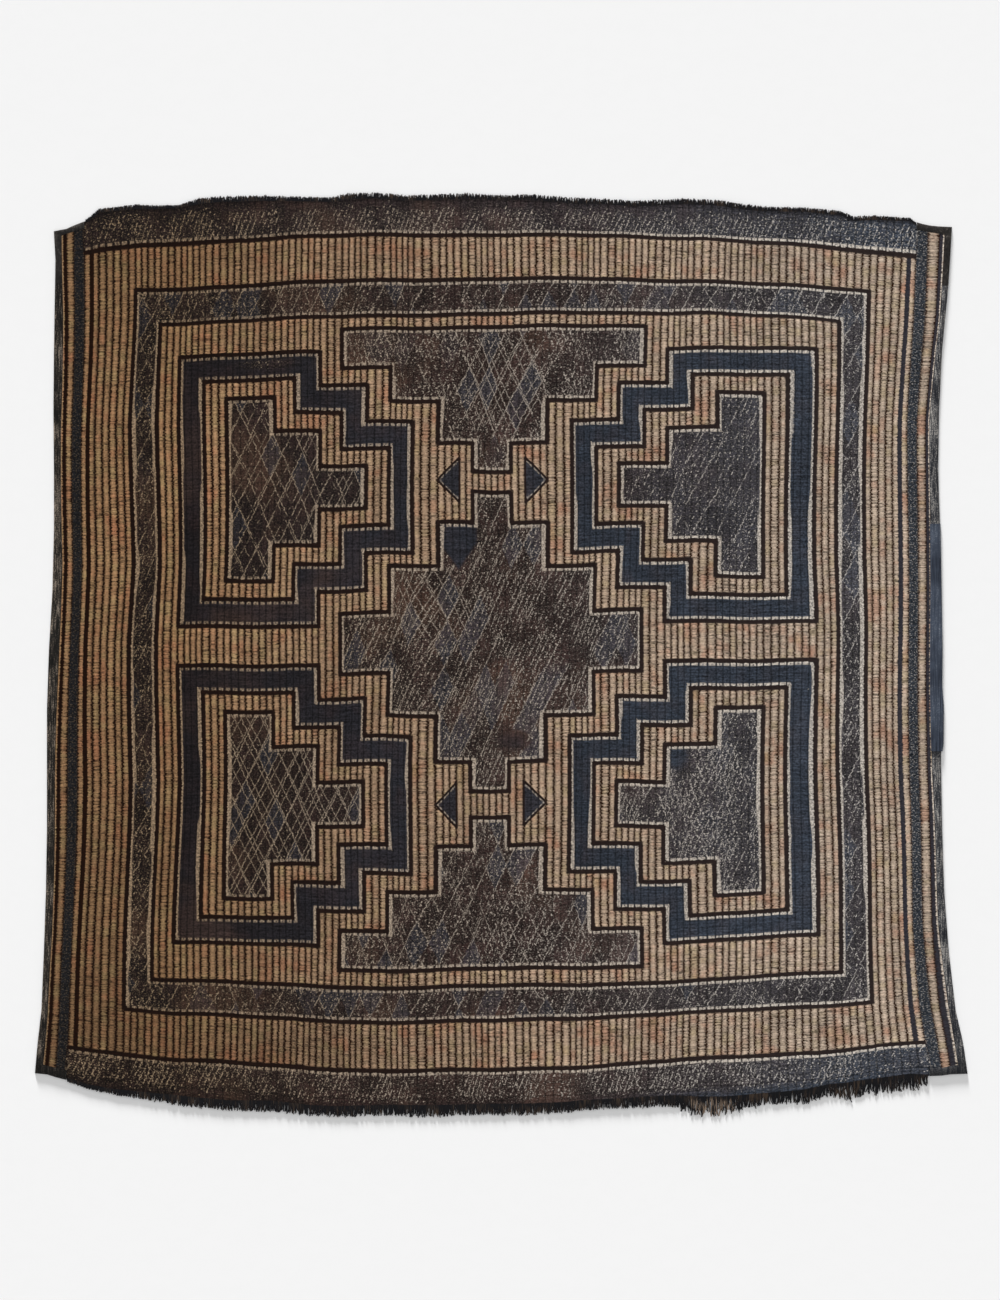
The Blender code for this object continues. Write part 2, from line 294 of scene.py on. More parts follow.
def pennant(columns, levels):
    """A plain dark patch in the middle diamond's upper left corner, drawn to a point below."""
    half = PENNANT_HALF * np.clip((PENNANT_POINT - levels) / PENNANT_TAPER, 0.0, 1.0)
    return np.clip((half - np.abs(columns - PENNANT_COLUMN)) * 2.5, 0.0, 1.0) * (levels > PENNANT_TOP)


def dark_parts(columns, levels):
    """Depth, upright flag and kind for every point of the net."""
    found = [
        ("top_band", band_depth(columns, TOP_BAND_INNER - levels)),
        ("bottom_band", band_depth(columns, levels - BOTTOM_BAND_INNER)),
        ("frame", less(box_depth(columns, levels, *FRAME_OUTER), box_depth(columns, levels, *FRAME_INNER))),
    ]
    for sign in (-1, 1):
        for low in (False, True):
            outer = stepped_depth(columns, levels, ring_boxes("outer", sign, low))
            inner = stepped_depth(columns, levels, ring_boxes("inner", sign, low))
            name = ("figure_lower_" if low else "figure_upper_") + ("left" if sign < 0 else "right")
            found.append(("ring", less(outer, inner)))
            found.append((name, stepped_depth(columns, levels, ring_boxes("figure", sign, low))))
    for name, steps in DIAMOND_STEPS.items():
        boxes = [(-half, half, top, bottom) for half, top, bottom in steps]
        found.append((name, stepped_depth(columns, levels, boxes)))
    for sign, middle in ARROWS:
        found.append(("arrow", arrow_depth(columns, levels, sign, middle)))
    depth = np.array([part[1][0] for part in found])
    upright = np.array([part[1][1] for part in found])
    names = np.array([part[0] for part in found])
    best = depth.argmax(0)
    pick = np.ogrid[: best.shape[0], : best.shape[1]]
    return depth[best, pick[0], pick[1]], upright[best, pick[0], pick[1]], names[best]


def weave_numbers(columns, levels):
    """Everything the weave's finish reads, at every point of the net."""
    depth, upright, names = dark_parts(columns, levels)
    numbers = {"depth": depth, "upright": upright}
    order = np.argsort(KINDS["kind"])
    row = order[np.searchsorted(KINDS["kind"], names, sorter=order)]
    for column in ("navy", "specks", "lattice", "lean"):
        numbers[column] = KINDS[column][row]
    for where, level, wide, tall, navy, specks, lattice in PATCHES:
        far = np.hypot((columns - where) / wide, (levels - level) / tall)
        amount = np.clip(1.6 * (1.0 - far), 0.0, 1.0)
        for name, goal in (("navy", navy), ("specks", specks), ("lattice", lattice)):
            numbers[name] = numbers[name] * (1.0 - amount) + goal * amount
    plain = pennant(columns, levels)
    numbers["navy"] = np.maximum(numbers["navy"], plain)
    numbers["specks"] = numbers["specks"] * (1.0 - plain)
    numbers["lattice"] = numbers["lattice"] * (1.0 - plain)
    numbers["stripe"] = np.max([0.5 - np.abs(columns - place) for place in STRIPE_COLUMNS], axis=0)
    numbers["heavy"] = np.min([np.abs(columns - place) + thin for place, thin in HEAVY_LINES], axis=0)
    end_bands = (names == "top_band") | (names == "bottom_band")
    bluer = np.maximum(numbers["navy"], (columns - 30.0) / 28.0)
    numbers["navy"] = np.where(end_bands, bluer, numbers["navy"])
    numbers["plain"] = (names == "arrow").astype(float)
    # Paler and bluer towards the right: partly real fading, partly painted sheen from the light on that side.
    numbers["bleach_and_sheen"] = np.clip(0.50 + columns / 90.0, 0.0, 1.0)
    left_low = np.clip(-columns / 60.0, 0.0, 1.0) * np.clip((levels - 560.0) / 400.0, 0.0, 1.0)
    left_high = np.clip(-columns / 40.0, 0.0, 1.0) * np.clip((400.0 - levels) / 150.0, 0.0, 1.0)
    low = np.clip((levels - 985.0) / 60.0, 0.0, 1.0) * np.clip((12.0 - columns) / 30.0, 0.0, 1.0)
    numbers["shade"] = np.clip(0.9 * left_low + 0.6 * left_high + 0.5 * low, 0.0, 1.0)
    return numbers


print("kinds of dark leather:", len(KINDS), "patches:", len(PATCHES))

# %% [markdown]
# ## Sheets with a flat underside
# Each part of the mat is a thin sheet that rests on the floor. A grid operator gives the top, whose
# points are then set on the net. Its rim is extruded straight down to the floor and the loop there is
# filled, which closes the sheet. Two whole-number layers remember each point's row and place, so that
# numbers worked out for the grid find their points again.

# %% A closed sheet from a grid
def closed_sheet(name, points):
    """A closed mesh whose top is points[row][place] and whose underside is flat on the floor."""
    rows, places = points.shape[:2]
    bm = bmesh.new()
    row_of = bm.verts.layers.int.new("row")
    place_of = bm.verts.layers.int.new("place")
    top = bmesh.ops.create_grid(bm, x_segments=places - 1, y_segments=rows - 1, size=1.0)["verts"]
    for number, vert in enumerate(top):
        row, place = divmod(number, places)
        vert.co = points[row, place]
        vert[row_of] = row
        vert[place_of] = place
    rim = [edge for edge in bm.edges if edge.is_boundary]
    skirt = bmesh.ops.extrude_edge_only(bm, edges=rim)["geom"]
    for vert in (item for item in skirt if isinstance(item, bmesh.types.BMVert)):
        vert.co.z = 0.0
    floor_loop = [edge for edge in bm.edges if edge.is_boundary]
    bmesh.ops.edgeloop_fill(bm, edges=floor_loop)
    bmesh.ops.recalc_face_normals(bm, faces=bm.faces)
    for face in bm.faces:
        face.smooth = True
    for edge in rim + floor_loop:
        edge.smooth = False
    return add_piece(name, bm)


def add_piece(name, bm):
    mesh = bpy.data.meshes.new(name)
    bm.to_mesh(mesh)
    bm.free()
    made = bpy.data.objects.new(name, mesh)
    bpy.context.scene.collection.objects.link(made)
    return made


def grid_numbers(piece, numbers):
    """Stores each grid of numbers on the piece's points, as an attribute of the same name."""
    mesh = piece.data
    count = len(mesh.vertices)
    row = np.zeros(count, np.int32)
    place = np.zeros(count, np.int32)
    mesh.attributes["row"].data.foreach_get("value", row)
    mesh.attributes["place"].data.foreach_get("value", place)
    for name, grid in numbers.items():
        layer = mesh.attributes.new(name, "FLOAT", "POINT")
        layer.data.foreach_set("value", grid[row, place].astype(np.float32))
    return row, place


def placed(piece, slot, *nodes):
    """Attaches a finished piece to the root body and hides the solids it stands for. The slot is not used."""
    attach(piece, "root")
    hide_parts(*nodes)
    return piece


print("helpers ready")

# %% [markdown]
# ## Writing a finish as sums
# A finish is a tree of nodes, but it is easier to read as arithmetic. This small class wraps one socket,
# and adding or multiplying it adds the Math node that does so. The finish itself has one method that
# makes any other node from its type, its settings and its values.

# %% Sockets that do arithmetic
class Value:
    def __init__(self, finish, socket):
        self.finish = finish
        self.socket = socket

    def math(self, operation, *others):
        node = self.finish.node("ShaderNodeMath", {"operation": operation}, dict(enumerate((self, *others))))
        return Value(self.finish, node.outputs[0])

    def __add__(self, other):
        return self.math("ADD", other)

    def __mul__(self, other):
        return self.math("MULTIPLY", other)

    def __sub__(self, other):
        return self.math("SUBTRACT", other)

    def __rsub__(self, other):
        return (self * -1.0) + other

    __radd__ = __add__
    __rmul__ = __mul__

    def part(self):
        return self.math("FRACT")

    def size(self):
        return self.math("ABSOLUTE")

    def most(self, other):
        return self.math("MAXIMUM", other)

    def least(self, other):
        return self.math("MINIMUM", other)

    def over(self, start, end):
        """0 at start, 1 at end, eased between."""
        settings = {"interpolation_type": "SMOOTHSTEP"}
        values = {"Value": self, "From Min": min(start, end), "From Max": max(start, end)}
        eased = Value(self.finish, self.finish.node("ShaderNodeMapRange", settings, values).outputs[0])
        return 1.0 - eased if start > end else eased


class Finish:
    def __init__(self, name):
        self.material = bpy.data.materials.new(name)
        self.material.use_nodes = True
        self.tree = self.material.node_tree
        self.shader = self.tree.nodes["Principled BSDF"]

    def node(self, kind, settings=None, values=None):
        node = self.tree.nodes.new(kind)
        for name, setting in (settings or {}).items():
            setattr(node, name, setting)
        for name, value in (values or {}).items():
            self.feed(node.inputs[name], value)
        return node

    def feed(self, socket, value):
        if isinstance(value, Value):
            self.tree.links.new(value.socket, socket)
        else:
            socket.default_value = value[:3] if socket.type == "VECTOR" else value

    def number(self, name):
        node = self.node("ShaderNodeAttribute", {"attribute_name": name})
        return Value(self, node.outputs["Fac"])

    def place(self):
        node = self.node("ShaderNodeTexCoord")
        return Value(self, node.outputs["Object"])

    def vector(self, x, y, z=0.0):
        return Value(self, self.node("ShaderNodeCombineXYZ", None, {"X": x, "Y": y, "Z": z}).outputs[0])

    def axes(self, vector):
        node = self.node("ShaderNodeSeparateXYZ", None, {0: vector})
        return [Value(self, out) for out in node.outputs]

    def noise(self, vector, scale, detail=2.0, roughness=0.5):
        values = {"Vector": vector, "Scale": scale, "Detail": detail, "Roughness": roughness}
        return Value(self, self.node("ShaderNodeTexNoise", None, values).outputs[0])

    def mix(self, factor, low, high):
        node = self.node("ShaderNodeMix", {"data_type": "RGBA"}, {0: factor, 6: low, 7: high})
        return Value(self, node.outputs[2])

    def scaled(self, colour, amount):
        node = self.node("ShaderNodeVectorMath", {"operation": "SCALE"}, {0: colour, "Scale": amount})
        return Value(self, node.outputs[0])

    def done(self, colour, roughness, height, depth, shine=0.25):
        bump = self.node("ShaderNodeBump", None, {"Height": height, "Strength": 0.6, "Distance": depth})
        self.feed(self.shader.inputs["Base Color"], colour)
        self.feed(self.shader.inputs["Roughness"], roughness)
        self.feed(self.shader.inputs["Normal"], Value(self, bump.outputs[0]))
        self.shader.inputs["Specular IOR Level"].default_value = shine
        return self.material


def tone(red, green, blue):
    """A screen colour as the linear colour that a shader takes."""
    return tuple((part / 255.0) ** 2.2 for part in (red, green, blue)) + (1.0,)


print("finish tools ready")

# %% [markdown]
# ## The weave's finish
# One finish does the whole field. Across a column it turns from a rounded reed crown to the dark leather
# strip in the groove. Depth in a figure lays the dark line, the light line and the dark inside over
# that. Along an upright side the light line is one column drawn out. Along a level side it breaks into
# one short dash for each column, because there the leather strips cross it.

# %% Reeds and leather
REED_BROWN = tone(148, 115, 84)
REED_PALE = tone(180, 161, 143)
REED_RED = tone(156, 100, 74)
REED_OLIVE = tone(148, 132, 92)
SEAM_BROWN = tone(34, 19, 10)
LINE_BROWN = tone(34, 22, 17)
LINE_GREY = tone(37, 31, 30)
DARK_BROWN = tone(37, 28, 25)
DARK_PLUM = tone(46, 34, 31)
DARK_NAVY = tone(29, 32, 37)
DARK_TAN = tone(76, 56, 44)
DARK_GREY = tone(38, 37, 39)
STRIPE_BLACK = tone(30, 30, 32)
STRIPE_BLUE = tone(46, 50, 56)
STROKE_WARM = tone(148, 127, 102)
STROKE_PALE = tone(186, 180, 174)
LINE_WARM = tone(158, 134, 108)
LINE_PALE = tone(206, 196, 184)
HEAVY_BLUE = tone(50, 50, 56)
REED_PITCH = 3.4
# lean and spacing of the lattice's two main sets of lines
RISING = (0.50, 21.0)
FALLING = (-0.46, 23.0)
LATTICE_WOBBLE = 0.2


def leaning(places, slope, spacing, wobble):
    """Counts lines that lean by slope, one each spacing. A line's middle is at each half."""
    across, level, wander = places
    return (across + level * slope) * (1.0 / spacing) + (wander - 0.5) * wobble


def drawn_strokes(finish, places, slope, spacing, density, seed):
    """Thin straight strokes that all lean one way, broken into short lengths."""
    phase = leaning(places, slope, spacing, 0.35)
    line = (phase.part() - 0.5).size().over(0.17, 0.04)
    breaks = finish.noise(finish.vector(phase.math("FLOOR") * 3.7, places[1] * 0.34, seed), 1.0, 1.0)
    return line * (breaks + density * 0.44 - 0.80).over(0.0, 0.05)


def drawn_lattice(finish, places, slope, spacing, presence, seed):
    """Long thin lines, nearly whole, that cross those leaning the other way."""
    phase = leaning(places, slope, spacing, LATTICE_WOBBLE)
    line = (phase.part() - 0.5).size().over(0.85 / spacing, 0.25 / spacing)
    breaks = finish.noise(finish.vector(phase.math("FLOOR") * 2.3, places[1] * 0.09, seed), 1.0, 3.0, 0.7)
    return line * (breaks + presence * 0.62 - 0.70).over(0.0, 0.10)


def weave_finish():
    finish = Finish("reeds_and_leather")
    column = finish.number("column")
    level = finish.number("level")
    depth = finish.number("depth")
    upright = finish.number("upright").over(0.35, 0.65)
    # The paler, bluer right side read here is partly real fading and partly painted sheen.
    bleach_and_sheen = finish.number("bleach_and_sheen")
    where = finish.place()
    crest = (column.part() - 0.5).size()
    strip_number = column.math("FLOOR")

    reeds = finish.noise(finish.vector(column * 0.30, level * 0.42), 1.0, 2.0, 0.6).over(0.30, 0.70)
    grain = finish.noise(finish.vector(column * 3.2, level * 0.52, 1.0), 1.0, 2.0, 0.7).over(0.32, 0.68)
    wander = finish.noise(finish.vector(column * 0.6, level * 0.30, 4.0), 1.0, 2.0)
    hue = finish.noise(finish.vector(strip_number * 1.7, level * 0.05, 6.0), 1.0, 2.0)
    strip = finish.node("ShaderNodeTexWhiteNoise", {"noise_dimensions": "1D"}, {"W": strip_number})
    strip = Value(finish, strip.outputs[0])
    broad = finish.noise(where, 4.5, 3.0, 0.55)
    stains = finish.noise(where, 14.0, 3.0, 0.6)

    row = level * (1.0 / REED_PITCH) + (wander - 0.5) * 2.2 + (reeds - 0.5) * 0.30
    between_reeds = (row.part() - 0.5).size()
    bead = ((row + strip_number * 0.5).part() - 0.5).size()
    drawn = finish.noise(finish.vector(column * 0.45, level * 0.07, 12.0), 1.0, 2.0)

    reed = finish.mix(bleach_and_sheen, REED_BROWN, REED_PALE)
    reed = finish.mix(stains.over(0.52, 0.66) * 0.45, reed, REED_RED)
    reed = finish.mix(hue.over(0.50, 0.66) * 0.38, reed, REED_OLIVE)
    reed = finish.mix(hue.over(0.46, 0.32) * 0.30, reed, REED_RED)
    light = 0.50 + grain * 0.66 + reeds * 0.38 + (strip - 0.5) * 0.20 + (broad - 0.5) * 0.6
    # Painted shade in the gaps between the reeds.
    light = light * (1.0 - between_reeds.over(0.27, 0.46) * drawn.over(0.32, 0.58) * 0.66)
    light = light * (1.0 - finish.number("shade") * 0.36)
    # Painted shade down the sides of each column's crown, towards the grooves.
    light = light * (1.0 - crest.over(0.10, 0.36) * 0.30)
    reed = finish.scaled(reed, light)
    # Painted highlight: the reeds just outside each figure's level sides are brightened.
    tip_highlight = depth.over(-1.2, -0.45) * (1.0 - upright)
    reed = finish.mix(tip_highlight * 0.22, reed, finish.scaled(reed, 1.6))

    seam = crest + (bead - 0.25) * 0.38 + (grain - 0.5) * 0.20 + (0.4 - bleach_and_sheen) * 0.04
    seam = seam.over(0.30, 0.43)
    heavy = (finish.number("heavy") + (grain - 0.5) * 0.10 + (bead - 0.25) * 0.2).over(0.38, 0.24)
    woven = finish.mix(seam, reed, finish.scaled(SEAM_BROWN, 0.4 + grain * 0.7 + bleach_and_sheen * 0.8))
    heavy_leather = finish.mix(bleach_and_sheen.over(0.6, 1.0) * 0.8, SEAM_BROWN, HEAVY_BLUE)
    woven = finish.mix(heavy, woven, finish.scaled(heavy_leather, 0.4 + grain * 0.9 + bleach_and_sheen * 0.3))

    lean = finish.number("lean")
    across = column * PIXELS_PER_COLUMN
    places = (across, level, wander)
    patchy = finish.noise(finish.vector(across * 0.045, level * 0.028, 9.0), 1.0, 2.0)
    amount = finish.number("specks") * (0.60 + 0.50 * patchy.over(0.34, 0.58))
    strokes = drawn_strokes(finish, places, 0.42, 5.4, amount * (0.85 + lean * 0.30), 1.0)
    strokes = strokes.most(drawn_strokes(finish, places, -0.36, 6.3, amount * (1.0 - lean * 0.45), 2.0))
    strokes = strokes.most(drawn_strokes(finish, places, 0.05, 4.3, amount * 0.80, 3.0) * 0.8)
    presence = finish.number("lattice")
    rising = drawn_lattice(finish, places, *RISING, presence + lean * 0.08, 4.0)
    falling = drawn_lattice(finish, places, *FALLING, presence - lean * 0.3, 5.0)
    close_rising = drawn_lattice(finish, places, 0.55, 13.0, presence - 0.12, 6.0)
    close_falling = drawn_lattice(finish, places, -0.52, 14.0, presence - 0.16, 7.0)
    net_lines = rising.most(falling).most(close_rising.most(close_falling) * 0.8)
    cell = finish.vector(
        *((leaning(places, *lines, LATTICE_WOBBLE) + 0.5).math("FLOOR") for lines in (RISING, FALLING))
    )
    cell = finish.node("ShaderNodeTexWhiteNoise", {"noise_dimensions": "2D"}, {"Vector": cell})
    cell = Value(finish, cell.outputs[0])
    latticed = presence.over(0.15, 0.45)
    beads = finish.noise(finish.vector(column * 5.0, level * 0.75, 21.0), 1.0, 1.0)
    frost = beads.over(0.54, 0.68)
    strokes = strokes * (0.16 + beads.over(0.42, 0.60) * 1.10)
    strokes = strokes.most(frost * amount.least(1.0) * 0.46)
    net_lines = net_lines * (0.34 + beads.over(0.40, 0.58) * 0.80)
    strokes = (strokes * finish.number("specks").over(0.0, 0.1)).most(net_lines * 0.85)
    strokes = strokes * (0.38 + grain * 0.90)

    navy = (finish.number("navy") * (0.50 + bleach_and_sheen * 0.8)).least(1.0)
    leather = finish.mix(stains.over(0.46, 0.60), DARK_BROWN, DARK_PLUM)
    leather = finish.mix(broad.over(0.50, 0.64) * (1.0 - bleach_and_sheen) * 0.55, leather, DARK_TAN)
    leather = finish.mix(bleach_and_sheen.over(0.5, 0.95) * 0.75, leather, DARK_GREY)
    navy = navy.most(latticed * cell.over(0.80, 0.84) * 0.7)
    leather = finish.mix(navy * (0.45 + patchy * 1.0).least(1.0), leather, DARK_NAVY)
    uneven = 0.16 + grain * 0.86 + reeds * 0.50 + (broad - 0.5) * 0.7
    # Painted highlight on the navy leather along each reed rib beneath it.
    rib_highlight = between_reeds.over(0.42, 0.12) * (drawn - 0.2)
    leather = finish.scaled(leather, uneven * (0.82 + bleach_and_sheen * 1.85) * (1.0 + navy * (rib_highlight * 1.9 + 0.36)))
    leather = finish.scaled(leather, 1.0 + (cell - 0.5) * latticed * 0.55)
    # Painted shade on the leather in the grooves between columns.
    leather = finish.scaled(leather, 1.0 - crest.over(0.32, 0.48) * 0.48)
    stroke = finish.mix(bleach_and_sheen, STROKE_WARM, STROKE_PALE)
    dark = finish.mix(strokes.least(1.0), leather, stroke)
    stripe_leather = finish.scaled(finish.mix(bleach_and_sheen, STRIPE_BLACK, STRIPE_BLUE), uneven * 1.15)
    stripe_dark = finish.mix(frost * (0.20 + bleach_and_sheen * 0.26), stripe_leather, stroke)
    striped = (finish.number("stripe") + (grain - 0.5) * 0.08 + (bead - 0.25) * 0.2).over(-0.08, 0.10)
    woven = finish.mix(striped, woven, stripe_dark)

    ragged = depth + (grain - 0.5) * 0.10 + (wander - 0.5) * 0.20 + (bead - 0.25) * 0.10
    inside = ragged.over(-0.40, -0.24)
    line_dark = finish.mix(bleach_and_sheen, LINE_BROWN, LINE_GREY)
    line_dark = finish.scaled(line_dark, 0.30 + reeds * 0.35 + grain * 0.55 + bleach_and_sheen * 0.75)
    lined = finish.mix(inside, woven, line_dark)
    plump = finish.noise(finish.vector(column * 0.45, level * 0.012, 14.0), 1.0, 1.0)
    stop = 0.52 + plump.over(0.42, 0.58) * 0.30
    upright_line = ragged.over(0.26, 0.36) * (ragged - stop).over(0.10, 0.0) * (0.35 + grain * 0.55)
    dash = ragged.over(0.28, 0.38) * ragged.over(0.76, 0.62) * (crest - bleach_and_sheen * 0.10).over(0.38, 0.22)
    dash = dash * (0.30 + grain * 0.42 + bleach_and_sheen * 0.36)
    hollow = crest.over(0.16, 0.06) * (depth - 0.54).size().over(0.16, 0.08) * strip.over(0.45, 0.6)
    dash = dash * (1.0 - hollow * 0.7)
    light_line = upright * upright_line + (1.0 - upright) * dash
    light_line = light_line * (1.0 - finish.number("plain") * (0.25 + upright * 0.75))
    rim = column.over(61.33, 61.40).most(column.over(-62.44, -62.52) * 0.6)
    rim = rim * (1.0 - level.over(518.0, 530.0) * level.over(775.0, 762.0)) * (grain * 1.3 - 0.1).most(0.0)
    dark_inside = depth.over(0.28, 0.40)
    filled = finish.mix(dark_inside, lined, dark)
    pale = finish.scaled(finish.mix(bleach_and_sheen, LINE_WARM, LINE_PALE), 0.70 + grain * 0.45)
    filled = finish.mix(light_line.most(rim * 0.8).least(1.0), filled, pale)

    height = reeds * 0.35 + grain * 0.35 - seam * 0.5
    roughness = 0.80 - dark_inside * 0.12 + (grain - 0.5) * 0.1
    return finish.done(filled, roughness, height, 0.0005, shine=0.12)


reeds_and_leather = weave_finish()
print("weave nodes:", len(reeds_and_leather.node_tree.nodes))

# %% [markdown]
# ## The field
# The field is woven in one piece, but its finish is later stored as a square picture for each object, so
# it is laid in eight upright strips that meet on leather lines. Four steps across each column raise its
# crown, and a row each two pixels follows the steps of the figures.

# %% Lay the field
SLICE_ENDS = (-62.6, -47, -31, -16, 0, 16, 31, 46, 61.5)
SEAM_LEVELS = {"top": 212.0, "bottom": 1097.0}
FIELD_LEVELS = np.linspace(SEAM_LEVELS["top"], SEAM_LEVELS["bottom"], 443)
GROOVE = 0.0030
CROWN = 0.0040
MAP_PARTS = 3


def woven_height(columns, numbers):
    """Reed columns are crowned. Leather lies flatter over them."""
    crest = 1.0 - (2.0 * (columns % 1.0) - 1.0) ** 2
    covered = np.clip(numbers["depth"] * 3.0 + 1.0, 0.0, 1.0)
    reeds = GROOVE + (CROWN - GROOVE) * crest
    leather = GROOVE + 0.0003 + 0.0003 * crest
    return reeds * (1.0 - covered) + leather * covered


def slice_columns(start, end):
    first = np.ceil(start * 4.0) / 4.0
    last = np.floor(end * 4.0) / 4.0
    return np.unique(np.concatenate([[start], np.arange(first, last + 0.01, 0.25), [end]]))


def lay_map(piece, row, place, rows, places):
    """Folds the strip's top into three lengths side by side, with rim and underside in the margin."""
    mesh = piece.data
    layer = mesh.uv_layers.new(name="OFBake")
    corner_verts = np.zeros(len(mesh.loops), np.int32)
    mesh.loops.foreach_get("vertex_index", corner_verts)
    starts = np.zeros(len(mesh.polygons), np.int32)
    sizes = np.zeros(len(mesh.polygons), np.int32)
    normals = np.zeros(len(mesh.polygons) * 3, np.float32)
    mesh.polygons.foreach_get("loop_start", starts)
    mesh.polygons.foreach_get("loop_total", sizes)
    mesh.polygons.foreach_get("normal", normals)
    normals = np.repeat(normals.reshape(-1, 3), sizes, axis=0)
    face_row = np.repeat(np.minimum.reduceat(row[corner_verts], starts), sizes)
    corner_row = row[corner_verts]
    corner_place = place[corner_verts] / (places - 1)
    points = np.array([vert.co for vert in mesh.vertices])[corner_verts]
    low = points.min(0)
    span = points.max(0) - low
    length = int(np.ceil((rows - 1) / MAP_PARTS))
    part = np.minimum(face_row // length, MAP_PARTS - 1)
    u = (part + 0.02 + 0.96 * corner_place) / MAP_PARTS
    v = 0.004 + 0.93 * (corner_row - part * length) / length
    along = (points - low) / span
    side = np.abs(normals[:, 0]) > 0.7
    end = np.abs(normals[:, 1]) > 0.7
    under = normals[:, 2] < -0.7
    u = np.where(side, 0.01 + 0.98 * along[:, 1], u)
    v = np.where(side, 0.945 + 0.006 * along[:, 2] + 0.012 * (normals[:, 0] > 0.0), v)
    u = np.where(end, 0.01 + 0.45 * along[:, 0] + 0.5 * (normals[:, 1] > 0.0), u)
    v = np.where(end, 0.970 + 0.006 * along[:, 2], v)
    u = np.where(under, 0.01 + 0.98 * along[:, 1], u)
    v = np.where(under, 0.980 + 0.016 * along[:, 0], v)
    layer.data.foreach_set("uv", np.stack([u, v], axis=1).astype(np.float32).ravel())


def lay_field():
    pieces = []
    for number, (start, end) in enumerate(zip(SLICE_ENDS[:-1], SLICE_ENDS[1:])):
        columns, levels = np.meshgrid(slice_columns(start, end), FIELD_LEVELS)
        numbers = weave_numbers(columns, levels)
        numbers["column"] = columns
        numbers["level"] = levels
        x, y = net(columns, levels)
        z = woven_height(columns, numbers)
        piece = closed_sheet(f"woven_field_{number + 1}", np.stack([x, y, z], axis=2))
        row, place = grid_numbers(piece, numbers)
        lay_map(piece, row, place, *columns.shape)
        piece.data.materials.append(reeds_and_leather)
        placed(piece, "woven_field", "mat_field")
        wide = float((x[:, -1] - x[:, 0]).mean())
        float(y[0].mean() - y[-1].mean())
        pieces.append(piece)
    return pieces


field = lay_field()
print("field strips:", len(field), "faces:", sum(len(piece.data.polygons) for piece in field))

# %% [markdown]
# ## Leather finishes
# The bindings, the end bands and the mend are worn hide. Real hide shows a fine grain, creases along
# its length, and pale scuffs where feet and folding have rubbed its high places. All of it comes from
# noise on the piece's own place, stretched along the strip.

# %% Worn leather
def leather_finish(name, dark, pale, scuff, stretch, wear):
    finish = Finish(name)
    where = finish.place()
    x, y, z = finish.axes(where)
    drawn = finish.vector(x * stretch[0], y * stretch[1], z * 20.0)
    grain = finish.noise(where, 420.0, 3.0, 0.6)
    streaks = finish.noise(drawn, 1.0, 4.0, 0.65)
    patches = finish.noise(where, 14.0, 3.0, 0.6)
    colour = finish.mix((streaks * 0.9 + patches * 0.6 - 0.25).over(0.15, 0.75), dark, pale)
    rubbed = (streaks * 0.6 + grain * 0.5 + patches * 0.3).over(0.80 - wear, 0.98 - wear)
    colour = finish.mix(rubbed * 0.8, colour, scuff)
    foot = y.over(-0.790, -0.822)
    colour = finish.mix(foot * 0.85, colour, finish.scaled(dark, 1.0 + patches * 1.2))
    height = grain * 0.4 + streaks * (1.0 - foot) * 0.6
    return finish.done(colour, 0.72 - rubbed * 0.15 + (grain - 0.5) * 0.2, height, 0.0009)


binding_left_leather = leather_finish(
    "binding_leather_dark", tone(9, 8, 7), tone(38, 35, 32), tone(150, 136, 122), (560, 26), 0.11
)
# The right binding is lighter and bluer: partly real fading, partly painted sheen from the light on that
# side.
binding_right_leather = leather_finish(
    "binding_leather_faded_and_sheen", tone(17, 19, 24), tone(61, 63, 69), tone(184, 179, 172), (560, 26), 0.13
)
cap_leather = leather_finish(
    "corner_leather", tone(20, 18, 18), tone(52, 49, 47), tone(130, 122, 114), (240, 120), 0.04
)
mend_leather = leather_finish(
    "mend_leather", tone(16, 19, 30), tone(74, 82, 96), tone(124, 130, 138), (700, 14), 0.07
)


def fringe_finish():
    """Cut leather ends: dark, with brown and a few tan ones, and one worn clump at the lower end."""
    finish = Finish("fringe_leather")
    x, y, z = finish.axes(finish.place())
    strand = finish.noise(finish.vector(x * 420.0, y * 30.0), 1.0, 2.0, 0.6)
    clump = finish.noise(finish.vector(x * 40.0, y * 20.0, 3.0), 1.0, 2.0)
    worn = x.over(0.368, 0.385) * x.over(0.480, 0.460) * y.over(-0.876, -0.900)
    colour = finish.mix((strand * 0.7 + clump * 0.5).over(0.58, 0.84), tone(24, 24, 27), tone(72, 60, 50))
    colour = finish.mix((strand + worn * 0.26).over(0.70, 0.88), colour, tone(138, 120, 104))
    return finish.done(colour, 0.85 + (strand - 0.5) * 0.1, strand, 0.0004)


fringe_leather = fringe_finish()
print("leather finishes: 5")

# %% [markdown]
# ## Bindings, corner caps and mend
# A binding is a strip of hide folded over the ends of the reeds. It could be swept along a curve, but
# its two edges follow different lines, so it is a grid again: pairs of outer and inner places are
# joined by a rounded section, and a little noise gives the hide its unevenness. The outer edge is the
# mat's outline, whose places are readings of a script that looks for the edge in the photograph.

